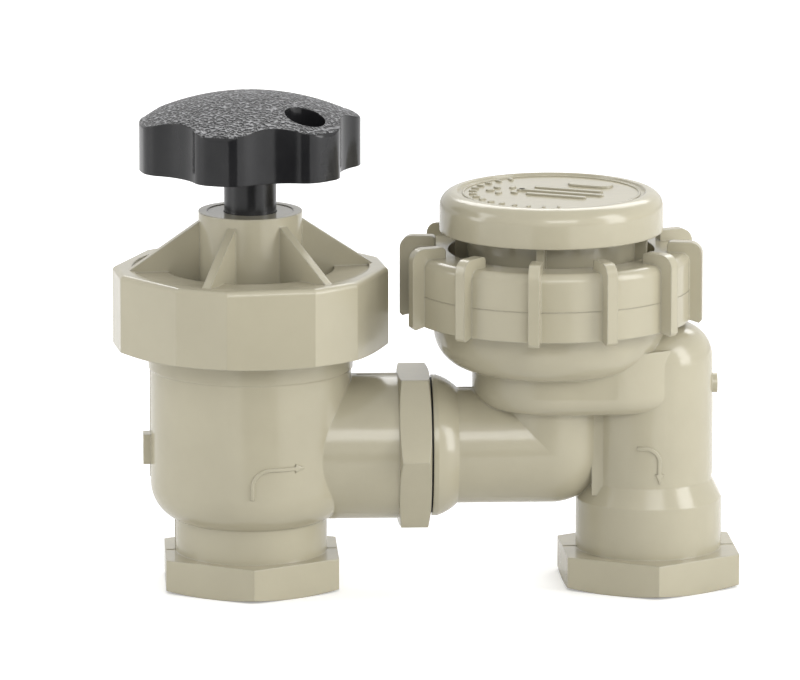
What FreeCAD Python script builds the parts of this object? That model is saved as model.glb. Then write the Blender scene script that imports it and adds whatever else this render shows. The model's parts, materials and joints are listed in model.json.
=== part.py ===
import FreeCAD, Part
import math
import os
import Sketcher
from FreeCAD import Placement, Rotation, Vector

# Manual anti-siphon irrigation valve: an angle globe valve with a handwheel on the inlet side, joined to an
# atmospheric vacuum breaker on the outlet side. Millimetres, +Z up. The origin is the centre of the inlet
# port in the plane of its mouth, +X points to the outlet port, and -Y is the front.

doc = FreeCAD.newDocument("AntiSiphonValve")
sheet = doc.addObject("Spreadsheet::Sheet", "Sizes")
sheet_rows = 0

COS30 = math.cos(math.radians(30))


# ---------------------------------------------------------------- sizes

class Length:
    """A size that knows its number and the expression that ties it to the sheet."""

    def __init__(self, number, text):
        self.number = number
        self.text = text

    def __add__(self, other):
        other = length(other)
        return Length(self.number + other.number, f"({self.text} + {other.text})")

    def __radd__(self, other):
        return length(other) + self

    def __sub__(self, other):
        other = length(other)
        return Length(self.number - other.number, f"({self.text} - {other.text})")

    def __rsub__(self, other):
        return length(other) - self

    def __mul__(self, other):
        other = length(other)
        return Length(self.number * other.number, f"({self.text} * {other.text})")

    def __rmul__(self, other):
        return self * other

    def __truediv__(self, other):
        other = length(other)
        return Length(self.number / other.number, f"({self.text} / {other.text})")

    def __neg__(self):
        return length(0) - self


def length(value):
    """A plain number becomes a constant length."""
    if isinstance(value, Length):
        return value
    return Length(float(value), f"{float(value)!r}")


def size(alias, number):
    """Write one driving size into the sheet and return it."""
    global sheet_rows
    sheet_rows += 1
    sheet.set(f"A{sheet_rows}", alias.replace("_", " "))
    sheet.set(f"B{sheet_rows}", str(number))
    sheet.setAlias(f"B{sheet_rows}", alias)
    return Length(float(number), f"Sizes.{alias}")


# How far a cutting tool runs past the face it opens.
overcut = size("overcut", 2.0)

# Where the vertical axes and the pipe between them lie.
bowl_offset = size("bowl_offset", 69.6)
outlet_offset = size("outlet_offset", 22.8)
pipe_height = size("pipe_height", 32.3)
port_spacing = bowl_offset + outlet_offset

# Both ports: a wrench hexagon round a 3/4 inch female pipe thread.
hex_width = size("hex_width", 40.0)
hex_height = size("hex_height", 8.0)
hex_bevel_slope = size("hex_bevel_slope", 0.25)
outlet_hex_turn = size("outlet_hex_turn", 2.5)
port_bore = size("port_bore", 13.28)
port_depth = size("port_depth", 17.0)
hex_corner = hex_width / 2 / COS30

# Globe body of the valve, from the inlet boss up to its threaded neck.
inlet_boss = size("inlet_boss", 17.6)
globe_bottom = size("globe_bottom", 16.0)
globe_bend_rise = size("globe_bend_rise", 8.5)
globe_bend = size("globe_bend", 9.2)
globe_radius = size("globe_radius", 23.3)
globe_wall = size("globe_wall", 2.0)
chamber_floor_wall = size("chamber_floor_wall", 4.0)
chamber_corner = size("chamber_corner", 3.0)
seat_rise = size("seat_rise", 11.7)
seat_bore = size("seat_bore", 9.5)
seat_wall = size("seat_wall", 3.0)
seat_lip = size("seat_lip", 1.5)
seat_lip_height = size("seat_lip_height", 1.0)
chamber_height = size("chamber_height", 24.3)
neck_length = size("neck_length", 8.8)
neck_step = size("neck_step", 1.5)
collar_length = size("collar_length", 7.9)
collar_step = size("collar_step", 0.4)
chamber_radius = globe_radius - globe_wall
chamber_floor = port_depth + chamber_floor_wall
seat_height = pipe_height + seat_rise
seat_tube = seat_bore + seat_wall
rim_height = seat_height + chamber_height
neck_radius = globe_radius + neck_step
neck_bottom = rim_height - neck_length
collar_radius = globe_radius + collar_step
collar_bottom = neck_bottom - collar_length

# Side outlet of the globe body, with its wrench hexagon and the socket for the breaker's spigot.
side_pipe = size("side_pipe", 16.9)
side_bore = size("side_bore", 11.0)
side_length = size("side_length", 18.0)
union_width = size("union_width", 34.8)
union_length = size("union_length", 7.4)
union_bevel = size("union_bevel", 0.6)
socket_bore = size("socket_bore", 13.3)
socket_depth = size("socket_depth", 11.5)
gate_radial = size("gate_radial", 1.7)
gate_width = size("gate_width", 4.4)
gate_height = size("gate_height", 7.0)
side_end = globe_radius + side_length
union_corner = union_width / 2 / COS30

# Stem, its packing and its gland.
stem_radius = size("stem_radius", 6.05)
running_gap = size("running_gap", 0.1)
stem_thread_step = size("stem_thread_step", 1.45)
stem_thread_length = size("stem_thread_length", 9.4)
stem_stop_gap = size("stem_stop_gap", 0.3)
packing_ring = size("packing_ring", 1.2)
gland_step = size("gland_step", 3.95)
gland_height = size("gland_height", 3.5)
gland_inset = size("gland_inset", 0.15)
square_inset = size("square_inset", 0.11)
square_length = size("square_length", 8.0)
swivel_neck = size("swivel_neck", 3.0)
swivel_neck_length = size("swivel_neck_length", 2.9)
swivel_button = size("swivel_button", 4.2)
swivel_button_length = size("swivel_button_length", 1.8)
swivel_gap = size("swivel_gap", 0.05)
stem_thread = stem_radius + stem_thread_step
gland_radius = stem_radius + gland_step
packing_bore = stem_radius + running_gap + 2 * packing_ring
stem_square = (stem_radius - square_inset) * math.sqrt(2)

# Bonnet: a twelve-sided cap that screws over the globe body's neck, with the stem hub in the middle.
bonnet_turn = size("bonnet_turn", 7.5)
bonnet_thread_gap = size("bonnet_thread_gap", 0.3)
bonnet_wall = size("bonnet_wall", 5.1)
bonnet_corner_step = size("bonnet_corner_step", 1.08)
bonnet_skirt = size("bonnet_skirt", 11.8)
bonnet_plate = size("bonnet_plate", 6.7)
bonnet_edge = size("bonnet_edge", 1.2)
bonnet_rim_width = size("bonnet_rim_width", 2.8)
bonnet_land_drop = size("bonnet_land_drop", 0.5)
bonnet_plug_gap = size("bonnet_plug_gap", 0.2)
bonnet_plug_depth = size("bonnet_plug_depth", 8.3)
bonnet_floor = size("bonnet_floor", 2.0)
pocket_wall = size("pocket_wall", 1.8)
stem_thread_bore_length = size("stem_thread_bore_length", 14.0)
hub_wall = size("hub_wall", 2.0)
hub_height = size("hub_height", 13.1)
rib_thickness = size("rib_thickness", 2.0)
rib_drop = size("rib_drop", 2.1)
bonnet_thread = neck_radius + bonnet_thread_gap
bonnet_long_flat = bonnet_thread + bonnet_wall
bonnet_short_flat = bonnet_long_flat + bonnet_corner_step
bonnet_bottom = rim_height - bonnet_skirt
bonnet_top = rim_height + bonnet_plate
bonnet_land = bonnet_top - bonnet_land_drop
bonnet_plug = chamber_radius - bonnet_plug_gap
bonnet_plug_bottom = rim_height - bonnet_plug_depth
pocket_radius = bonnet_plug - pocket_wall
hub_radius = gland_radius + hub_wall
hub_top = bonnet_top + hub_height
gland_bottom = hub_top - gland_inset - gland_height
packing_bottom = gland_bottom - 4 * packing_ring
stem_thread_top = bonnet_plug_bottom + stem_thread_bore_length
stem_thread_base = stem_thread_top - stem_stop_gap - stem_thread_length
button_top = stem_thread_base - swivel_neck_length
button_bottom = button_top - swivel_button_length

# Valve disc: holder, washer and screw, drawn a full lift above the seat.
lift = size("lift", 7.0)
washer_radius = size("washer_radius", 12.3)
washer_thickness = size("washer_thickness", 3.0)
holder_rim = size("holder_rim", 1.5)
holder_plate = size("holder_plate", 3.0)
holder_hub_gap = size("holder_hub_gap", 0.6)
screw_shank = size("screw_shank", 2.0)
screw_end_wall = size("screw_end_wall", 1.1)
screw_head = size("screw_head", 3.6)
screw_head_height = size("screw_head_height", 1.6)
screw_slot = size("screw_slot", 0.8)
washer_bottom = seat_height + lift
washer_top = washer_bottom + washer_thickness
holder_plate_top = washer_top + holder_plate
holder_top = stem_thread_base - stem_stop_gap
holder_hub = stem_thread + running_gap - holder_hub_gap
screw_grip = button_bottom - screw_end_wall - washer_top

# Handwheel with its screw and cover.
wheel_gap = size("wheel_gap", 10.2)
wheel_radius = size("wheel_radius", 25.8)
wheel_valley_depth = size("wheel_valley_depth", 3.8)
wheel_scallop = size("wheel_scallop", 15.0)
wheel_turn = size("wheel_turn", -18.0)
wheel_height = size("wheel_height", 17.3)
wheel_shoulder_drop = size("wheel_shoulder_drop", 5.6)
wheel_edge = size("wheel_edge", 1.3)
wheel_corner = size("wheel_corner", 6.0)
wheel_wall = size("wheel_wall", 7.8)
wheel_pocket_depth = size("wheel_pocket_depth", 10.0)
wheel_hub_wall = size("wheel_hub_wall", 2.95)
wheel_web = size("wheel_web", 1.8)
wheel_hole = size("wheel_hole", 4.7)
wheel_hole_inset = size("wheel_hole_inset", 7.5)
wheel_collar_depth = size("wheel_collar_depth", 1.5)
cover_radius = size("cover_radius", 6.7)
cover_thickness = size("cover_thickness", 2.2)
wheel_screw_seat = size("wheel_screw_seat", 1.5)
wheel_screw_head_inset = size("wheel_screw_head_inset", 2.65)
wheel_screw_head_height = size("wheel_screw_head_height", 1.6)
wheel_screw_grip = size("wheel_screw_grip", 9.0)
wheel_bottom = hub_top + wheel_gap
wheel_top = wheel_bottom + wheel_height
wheel_valley = wheel_radius - wheel_valley_depth
wheel_shoulder = wheel_top - wheel_shoulder_drop
wheel_shoulder_radius = wheel_radius - wheel_edge
wheel_crown = (wheel_shoulder_radius * wheel_shoulder_radius / wheel_shoulder_drop + wheel_shoulder_drop) / 2
wheel_hub = stem_radius + wheel_hub_wall
wheel_pocket_radius = wheel_radius - wheel_wall
wheel_hole_offset = wheel_radius - wheel_hole_inset
cover_seat = wheel_top - cover_thickness
wheel_screw_head = cover_radius - wheel_screw_head_inset
square_bottom = wheel_bottom + wheel_collar_depth
stem_top = square_bottom + square_length

# Face seals: one in the neck's rim, one between the two bodies.
rim_groove_lip = size("rim_groove_lip", 0.9)
rim_ring = size("rim_ring", 0.85)
joint_gap = size("joint_gap", 0.5)
joint_seal_width = size("joint_seal_width", 2.4)
rim_groove_inner = chamber_radius + rim_groove_lip
rim_groove_outer = rim_groove_inner + 2 * rim_ring
flare_start = side_end + joint_gap

# Breaker body: spigot and elbow, riser, bowl, outlet pipe.
spigot_gap = size("spigot_gap", 0.1)
spigot_end_gap = size("spigot_end_gap", 0.4)
breaker_bore = size("breaker_bore", 9.5)
breaker_pipe_wall = size("breaker_pipe_wall", 4.0)
flare_radius = size("flare_radius", 16.4)
flare_rim = size("flare_rim", 1.2)
flare_length = size("flare_length", 6.0)
flare_bend = size("flare_bend", 12.0)
riser_wall = size("riser_wall", 2.4)
riser_lip = size("riser_lip", 1.3)
bowl_floor_rise = size("bowl_floor_rise", 9.7)
bowl_foot_channel = size("bowl_foot_channel", 3.9)
bowl_foot_wall = size("bowl_foot_wall", 2.5)
bowl_foot_bend = size("bowl_foot_bend", 4.5)
bowl_foot_height = size("bowl_foot_height", 9.0)
bowl_radius = size("bowl_radius", 27.2)
bowl_bend = size("bowl_bend", 9.0)
bowl_wall = size("bowl_wall", 3.0)
bowl_height = size("bowl_height", 20.0)
breaker_neck_length = size("breaker_neck_length", 7.0)
breaker_neck_step = size("breaker_neck_step", 1.2)
outlet_boss = size("outlet_boss", 16.9)
outlet_boss_top = size("outlet_boss_top", 19.9)
outlet_cone_height = size("outlet_cone_height", 4.5)
outlet_pipe = size("outlet_pipe", 14.75)
outlet_rise = size("outlet_rise", 18.9)
outlet_dome = size("outlet_dome", 8.0)
outlet_bore = size("outlet_bore", 10.6)
outlet_roof = size("outlet_roof", 3.4)
outlet_gate_drop = size("outlet_gate_drop", 14.4)
outlet_gate_radial = size("outlet_gate_radial", 1.1)
outlet_gate = size("outlet_gate", 2.3)
foot_reach = size("foot_reach", 14.3)
foot_roof = size("foot_roof", 3.0)
web_start = size("web_start", 9.0)
web_length = size("web_length", 3.0)
web_reach = size("web_reach", 9.6)
web_drop = size("web_drop", 10.3)
breaker_pipe = breaker_bore + breaker_pipe_wall
riser_radius = breaker_bore + riser_wall
bowl_floor = pipe_height + bowl_floor_rise
moat_floor = bowl_floor + bowl_wall
bowl_foot = riser_radius + bowl_foot_channel + bowl_foot_wall
bowl_waist = bowl_floor + bowl_foot_height
foot_end = bowl_offset + foot_reach
foot_inside = bowl_foot - bowl_foot_wall
foot_ceiling = bowl_waist + bowl_wall
foot_top = foot_ceiling + foot_roof
breaker_rim = bowl_waist + bowl_height
breaker_neck = bowl_radius + breaker_neck_step
breaker_neck_bottom = breaker_rim - breaker_neck_length
outlet_cone_top = outlet_boss_top + outlet_cone_height
outlet_top = bowl_floor + outlet_rise

# Ring nut that clamps the vent bonnet to the breaker body.
nut_turn = size("nut_turn", -9.8)
nut_thread_gap = size("nut_thread_gap", 0.3)
nut_wall = size("nut_wall", 3.6)
nut_skirt = size("nut_skirt", 8.3)
nut_roof = size("nut_roof", 4.0)
nut_lip = size("nut_lip", 4.5)
nut_edge = size("nut_edge", 2.0)
vent_flange_height = size("vent_flange_height", 3.5)
vent_flange_inset = size("vent_flange_inset", 0.2)
lug_reach = size("lug_reach", 2.9)
lug_thickness = size("lug_thickness", 2.6)
lug_above = size("lug_above", 2.5)
lug_below = size("lug_below", 0.6)
lug_corner = size("lug_corner", 3.0)
lug_hook = size("lug_hook", 5.3)
lug_hook_corner = size("lug_hook_corner", 1.0)
LUG_COUNT = 12
nut_thread = breaker_neck + nut_thread_gap
nut_radius = nut_thread + nut_wall
nut_bottom = breaker_rim - nut_skirt
nut_roof_bottom = breaker_rim + vent_flange_height
nut_top = nut_roof_bottom + nut_roof
nut_opening = breaker_neck - nut_lip
lug_radius = nut_radius + lug_reach
lug_top = nut_top + lug_above
lug_bottom = nut_bottom - lug_below
lug_inner = nut_radius - lug_hook

# Vent bonnet, its cap and its seal.
vent_plug_gap = size("vent_plug_gap", 0.3)
vent_plug_depth = size("vent_plug_depth", 4.2)
vent_seat_drop = size("vent_seat_drop", 0.8)
vent_seat_bore = size("vent_seat_bore", 13.5)
vent_seat_width = size("vent_seat_width", 1.5)
vent_floor = size("vent_floor", 3.7)
vent_ring = size("vent_ring", 1.1)
vent_ring_drop = size("vent_ring_drop", 1.8)
vent_tube_inset = size("vent_tube_inset", 4.5)
vent_tube_wall = size("vent_tube_wall", 2.0)
vent_tube_rise = size("vent_tube_rise", 8.5)
post_length = size("post_length", 2.9)
post_width = size("post_width", 2.0)
guide_rise = size("guide_rise", 9.2)
guide_height = size("guide_height", 3.0)
guide_wall = size("guide_wall", 2.0)
guide_spoke = size("guide_spoke", 1.6)
guide_gap = size("guide_gap", 0.05)
cap_overhang = size("cap_overhang", 2.0)
cap_lift = size("cap_lift", 4.7)
cap_height = size("cap_height", 9.0)
cap_edge = size("cap_edge", 3.6)
cap_wall = size("cap_wall", 2.2)
cap_roof = size("cap_roof", 2.0)
cap_rim_width = size("cap_rim_width", 4.1)
cap_disc_drop = size("cap_disc_drop", 0.6)
vent_plug = bowl_radius - bowl_wall - vent_plug_gap
vent_plug_bottom = breaker_rim - vent_plug_depth
vent_seat = vent_plug_bottom - vent_seat_drop
vent_flange = breaker_neck - vent_flange_inset
vent_ring_height = breaker_rim - vent_ring_drop
vent_tube = nut_opening - vent_tube_inset
vent_tube_top = nut_top + vent_tube_rise
post_reach = vent_tube + post_length
guide_bottom = vent_plug_bottom + guide_rise
cap_radius = nut_opening + cap_overhang
cap_bottom = nut_top + cap_lift
cap_top = cap_bottom + cap_height
cap_disc = cap_radius - cap_rim_width
post_top = cap_top - cap_disc_drop - cap_roof

# Poppet and its seal; at rest it lies on the riser, its travel below the air seat.
poppet_travel = size("poppet_travel", 4.5)
poppet_plate = size("poppet_plate", 2.5)
poppet_edge = size("poppet_edge", 0.5)
poppet_collar = size("poppet_collar", 5.0)
poppet_bead = size("poppet_bead", 6.0)
poppet_bead_height = size("poppet_bead_height", 1.0)
poppet_seal_overlap = size("poppet_seal_overlap", 2.0)
poppet_seal_thickness = size("poppet_seal_thickness", 2.0)
poppet_pin = size("poppet_pin", 2.4)
poppet_pin_rise = size("poppet_pin_rise", 1.5)
poppet_seal_radius = vent_seat_bore + poppet_seal_overlap
poppet_radius = poppet_seal_radius + poppet_edge
poppet_seal_top = vent_seat - poppet_travel
poppet_top = poppet_seal_top - poppet_seal_thickness
riser_top = poppet_top - poppet_plate
poppet_pin_top = guide_bottom + guide_height + poppet_pin_rise
guide_hub = poppet_pin + guide_wall

doc.recompute()


# ---------------------------------------------------------------- helpers

def bind(thing, name, value):
    """Tie one property of an object to the sheet."""
    thing.setExpression(name, length(value).text)


def origin_part(body, role):
    """One of the body's own origin planes or axes."""
    return next(item for item in body.Origin.OriginFeatures if item.Role == role)


def new_body(node, x=None, turn=None):
    """An empty body named after its node, moved along X and turned about Z if asked."""
    body = doc.addObject("PartDesign::Body", node)
    body.Label = node
    if turn is not None:
        body.Placement = Placement(Vector(), Rotation(Vector(0, 0, 1), turn.number))
    if x is not None:
        bind(body, "Placement.Base.x", x)
    return body


def arc_edge(start, end, radius, side):
    """Circle arc between two sketch points, always counter-clockwise, and whether it is reversed."""
    chord = end - start
    middle = (start + end) / 2
    rise = math.sqrt(max(radius**2 - (chord.Length / 2)**2, 0))
    normal = Vector(-chord.y, chord.x, 0).normalize()
    centre = middle + normal * rise * side
    first = math.atan2(start.y - centre.y, start.x - centre.x)
    last = math.atan2(end.y - centre.y, end.x - centre.x)
    backward = side < 0
    if backward:
        first, last = last, first
    if last < first:
        last += 2 * math.pi
    circle = Part.Circle(centre, Vector(0, 0, 1), radius)
    return Part.ArcOfCircle(circle, first, last), backward


def outline_sketch(body, name, corners, plane="XZ_Plane", shift=(None, None)):
    """Closed outline with every corner tied to the sheet.

    A corner is (across, up), or (across, up, radius, side) where the edge that leads to it is an arc;
    side +1 puts the arc's centre to the left of the way from the last corner, and -1 to the right."""
    sketch = body.newObject("Sketcher::SketchObject", name)
    sketch.AttachmentSupport = [(origin_part(body, plane), "")]
    sketch.MapMode = "FlatFace"
    for letter, amount in zip("xy", shift):
        if amount is not None:
            bind(sketch, f"AttachmentOffset.Base.{letter}", amount)
    across = [length(corner[0]) for corner in corners]
    up = [length(corner[1]) for corner in corners]
    points = [Vector(a.number, u.number, 0) for a, u in zip(across, up)]
    count = len(points)
    ends = []
    for index in range(count):
        following = (index + 1) % count
        arc = corners[following][2:]
        if arc:
            edge, backward = arc_edge(points[index], points[following], length(arc[0]).number, arc[1])
            sketch.addGeometry(edge)
            ends.append((2, 1) if backward else (1, 2))
        else:
            sketch.addGeometry(Part.LineSegment(points[index], points[following]))
            ends.append((1, 2))
    for index in range(count):
        following = (index + 1) % count
        sketch.addConstraint(
            Sketcher.Constraint("Coincident", index, ends[index][1], following, ends[following][0]))
    for index in range(count):
        tie_point(sketch, "DistanceX", index, ends[index][0], across[index])
        tie_point(sketch, "DistanceY", index, ends[index][0], up[index])
        arc = corners[(index + 1) % count][2:]
        if arc:
            radius = length(arc[0])
            number = sketch.addConstraint(Sketcher.Constraint("Radius", index, radius.number))
            bind(sketch, f"Constraints[{number}]", radius)
    return sketch


def tie_point(sketch, kind, geometry, end, value):
    """Hold one coordinate of a sketch point to the sheet."""
    number = sketch.addConstraint(Sketcher.Constraint(kind, -1, 1, geometry, end, value.number))
    if "Sizes" in value.text:
        bind(sketch, f"Constraints[{number}]", value)


def turned(body, name, corners, cut=False, about="Z", x=None, z=None):
    """Turn an outline of (radius, height) about Z, or of (along, radius) about X, and add or cut it."""
    sketch = outline_sketch(body, name + "_outline", corners, shift=(x, z))
    feature = body.newObject("PartDesign::Groove" if cut else "PartDesign::Revolution", name)
    feature.Profile = sketch
    feature.ReferenceAxis = (sketch, ["V_Axis" if about == "Z" else "H_Axis"])
    doc.recompute()
    return feature


def place(feature, x=0, y=0, z=0, turn=Rotation()):
    """Put a primitive in its body; its three coordinates are tied to the sheet."""
    feature.Placement = Placement(Vector(length(x).number, length(y).number, length(z).number), turn)
    for letter, amount in zip("xyz", (x, y, z)):
        if "Sizes" in length(amount).text:
            bind(feature, f"Placement.Base.{letter}", amount)
    doc.recompute()
    return feature


ALONG_X = Rotation(Vector(0, 1, 0), 90)


def rod(body, name, radius, along, cut=False, x=0, y=0, z=0, turn=Rotation()):
    """A cylinder that is added to the body or cut from it."""
    kind = "SubtractiveCylinder" if cut else "AdditiveCylinder"
    feature = body.newObject(f"PartDesign::{kind}", name)
    bind(feature, "Radius", radius)
    bind(feature, "Height", along)
    return place(feature, x, y, z, turn)


def ball(body, name, radius, cut=False, x=0, z=0):
    """A sphere that is added to the body or cut from it."""
    kind = "SubtractiveSphere" if cut else "AdditiveSphere"
    feature = body.newObject(f"PartDesign::{kind}", name)
    bind(feature, "Radius", radius)
    return place(feature, x, 0, z)


def block(body, name, low, sides, cut=False):
    """A box from its lowest corner and its three sides."""
    kind = "SubtractiveBox" if cut else "AdditiveBox"
    feature = body.newObject(f"PartDesign::{kind}", name)
    for side, amount in zip(("Length", "Width", "Height"), sides):
        bind(feature, side, amount)
    return place(feature, *low)


def hexagon(body, name, corner, along, x=0, z=0, turn=Rotation()):
    """A six-sided prism."""
    feature = body.newObject("PartDesign::AdditivePrism", name)
    feature.Polygon = 6
    bind(feature, "Circumradius", corner)
    bind(feature, "Height", along)
    return place(feature, x, 0, z, turn)


def plate(body, name, corners, thickness):
    """Pad an upright outline by the same amount to both sides of the XZ plane."""
    pad = body.newObject("PartDesign::Pad", name)
    pad.Profile = outline_sketch(body, name + "_outline", corners)
    pad.SideType = "Symmetric"
    bind(pad, "Length", thickness)
    doc.recompute()
    return pad


def ring_of(body, name, feature, count):
    """Repeat a feature round the body's Z axis."""
    pattern = body.newObject("PartDesign::PolarPattern", name)
    pattern.Originals = [feature]
    pattern.Axis = (origin_part(body, "Z_Axis"), [""])
    pattern.Angle = 360
    pattern.Occurrences = count
    body.Tip = pattern
    doc.recompute()
    return pattern


def round_edges(body, name, radius, wanted):
    """Fillet every edge of the tip that the test picks."""
    base = body.Tip
    picked = [f"Edge{index + 1}" for index, edge in enumerate(base.Shape.Edges) if wanted(edge)]
    if not picked:
        raise RuntimeError(f"{body.Label}: no edge to round for {name}")
    fillet = body.newObject("PartDesign::Fillet", name)
    fillet.Base = (base, picked)
    bind(fillet, "Radius", radius)
    doc.recompute()
    return fillet


def near(first, second, within=0.01):
    """Whether two numbers agree."""
    return abs(first - length(second).number) < within


def port_hexagon(body, x, turn=0):
    """Wrench hexagon at a port's mouth, with its lower corners bevelled."""
    hexagon(body, "port_hexagon", hex_corner, hex_height, x=x, turn=Rotation(Vector(0, 0, 1), 30 + turn))
    outside = hex_corner + overcut
    turned(body, "port_bevel", [
        (hex_width / 2, 0),
        (outside, 0),
        (outside, (outside - hex_width / 2) * hex_bevel_slope),
    ], cut=True, x=x)


def ring(node, centre_radius, section, x=0, z=0):
    """An O-ring."""
    torus = doc.addObject("Part::Torus", node)
    torus.Label = node
    bind(torus, "Radius1", centre_radius)
    bind(torus, "Radius2", section)
    return place(torus, x, 0, z)


# ---------------------------------------------------------------- valve side

def make_valve_body():
    """Globe body: inlet port below, seat tube inside, threaded neck above and side outlet to the breaker."""
    body = new_body("valve_body")
    turned(body, "globe", [
        (0, 0),
        (inlet_boss, 0),
        (inlet_boss, globe_bottom),
        (globe_radius, globe_bottom + globe_bend_rise, globe_bend, 1),
        (globe_radius, collar_bottom - collar_step),
        (collar_radius, collar_bottom),
        (collar_radius, neck_bottom - (neck_radius - collar_radius)),
        (neck_radius, neck_bottom),
        (neck_radius, rim_height),
        (0, rim_height),
    ])
    rod(body, "side_pipe", side_pipe, side_end, z=pipe_height, turn=ALONG_X)
    hexagon(body, "union_hexagon", union_corner, union_length, x=side_end - union_length, z=pipe_height,
            turn=ALONG_X.multiply(Rotation(Vector(0, 0, 1), 30)))
    outside = union_corner + overcut
    bevel = union_bevel * (1 + overcut / (union_corner - union_width / 2))
    turned(body, "union_bevel_near", [
        (side_end - union_length, union_width / 2),
        (side_end - union_length + bevel, outside),
        (side_end - union_length, outside),
    ], cut=True, about="X", z=pipe_height)
    turned(body, "union_bevel_far", [
        (side_end, union_width / 2),
        (side_end, outside),
        (side_end - bevel, outside),
    ], cut=True, about="X", z=pipe_height)
    port_hexagon(body, 0)
    block(body, "gate_mark", (-(globe_radius + gate_radial), -gate_width / 2, pipe_height - gate_height / 2),
          (2 * gate_radial, gate_width, gate_height))
    turned(body, "chamber", [
        (0, seat_height),
        (seat_bore + seat_lip, seat_height),
        (seat_tube, seat_height - seat_lip_height),
        (seat_tube, chamber_floor),
        (chamber_radius - chamber_corner, chamber_floor),
        (chamber_radius, chamber_floor + chamber_corner, chamber_corner, 1),
        (chamber_radius, rim_height + overcut),
        (0, rim_height + overcut),
    ], cut=True)
    rod(body, "inlet_passage", seat_bore, seat_height, cut=True)
    rod(body, "inlet_port", port_bore, port_depth, cut=True)
    side_start = seat_tube + overcut / 2
    rod(body, "side_passage", side_bore, side_end - side_start, cut=True, x=side_start, z=pipe_height,
        turn=ALONG_X)
    rod(body, "spigot_socket", socket_bore, socket_depth, cut=True, x=side_end - socket_depth,
        z=pipe_height, turn=ALONG_X)
    turned(body, "rim_groove", [
        (rim_groove_inner, rim_height - 2 * rim_ring),
        (rim_groove_outer, rim_height - 2 * rim_ring),
        (rim_groove_outer, rim_height + overcut),
        (rim_groove_inner, rim_height + overcut),
    ], cut=True)
    return body


def make_bonnet():
    """Twelve-sided screw cap with a deep pocket and six webs round the stem hub."""
    body = new_body("bonnet", turn=bonnet_turn)
    hexagon(body, "cap_hexagon", bonnet_long_flat / COS30, bonnet_top - bonnet_bottom, z=bonnet_bottom)
    corner = block(body, "corner_cut", (bonnet_short_flat, -hub_radius, bonnet_bottom - overcut),
                   (hub_radius, 2 * hub_radius, bonnet_top - bonnet_bottom + 2 * overcut), cut=True)
    ring_of(body, "corner_cuts", corner, 6)
    round_edges(body, "top_edge", bonnet_edge,
                lambda edge: near(edge.BoundBox.ZMin, bonnet_top) and near(edge.BoundBox.ZMax, bonnet_top))
    outside = bonnet_short_flat + overcut
    turned(body, "lower_bevel", [
        (bonnet_long_flat, bonnet_bottom),
        (outside, bonnet_bottom),
        (outside, bonnet_bottom + (outside - bonnet_long_flat) * hex_bevel_slope),
    ], cut=True)
    turned(body, "land", [
        (0, bonnet_land),
        (bonnet_long_flat - bonnet_rim_width, bonnet_land),
        (bonnet_long_flat - bonnet_rim_width, bonnet_top + overcut),
        (0, bonnet_top + overcut),
    ], cut=True)
    turned(body, "skirt_hollow", [
        (0, bonnet_bottom - overcut),
        (bonnet_thread, bonnet_bottom - overcut),
        (bonnet_thread, rim_height),
        (bonnet_plug, rim_height),
        (bonnet_plug, bonnet_plug_bottom),
        (0, bonnet_plug_bottom),
    ], cut=True)
    turned(body, "pocket", [
        (0, bonnet_plug_bottom + bonnet_floor),
        (pocket_radius, bonnet_plug_bottom + bonnet_floor),
        (pocket_radius, bonnet_top + overcut),
        (0, bonnet_top + overcut),
    ], cut=True)
    rod(body, "hub", hub_radius, hub_top - bonnet_plug_bottom, z=bonnet_plug_bottom)
    rib_end = bonnet_long_flat - bonnet_rim_width + 1
    rib = plate(body, "rib", [
        (hub_radius - 1, bonnet_plug_bottom + bonnet_floor / 2),
        (pocket_radius + pocket_wall / 2, bonnet_plug_bottom + bonnet_floor / 2),
        (pocket_radius + pocket_wall / 2, bonnet_land - 1),
        (rib_end, bonnet_land - 1),
        (rib_end, bonnet_top),
        (hub_radius, hub_top - rib_drop),
        (hub_radius - 1, hub_top - rib_drop),
    ], rib_thickness)
    ring_of(body, "ribs", rib, 6)
    turned(body, "stem_bore", [
        (0, bonnet_plug_bottom - overcut),
        (stem_thread + running_gap, bonnet_plug_bottom - overcut),
        (stem_thread + running_gap, stem_thread_top),
        (stem_radius + running_gap, stem_thread_top),
        (stem_radius + running_gap, packing_bottom),
        (packing_bore, packing_bottom),
        (packing_bore, gland_bottom),
        (gland_radius, gland_bottom),
        (gland_radius, hub_top + overcut),
        (0, hub_top + overcut),
    ], cut=True)
    return body


def make_gland_ring():
    """Pressed ring that holds the packing in the top of the hub."""
    body = new_body("gland_ring")
    turned(body, "gland", [
        (stem_radius + running_gap, gland_bottom),
        (gland_radius, gland_bottom),
        (gland_radius, gland_bottom + gland_height),
        (stem_radius + running_gap, gland_bottom + gland_height),
    ])
    return body


def make_stem_o_rings():
    """Two packing rings, one on the other, round the stem."""
    rings = []
    for index in range(2):
        torus = doc.addObject("Part::Torus", f"packing_ring_{index + 1}")
        bind(torus, "Radius1", stem_radius + running_gap + packing_ring)
        bind(torus, "Radius2", packing_ring)
        rings.append(place(torus, z=packing_bottom + packing_ring * (1 + 2 * index)))
    pair = doc.addObject("Part::Compound", "stem_o_rings")
    pair.Label = "stem_o_rings"
    pair.Links = rings
    return pair


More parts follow.
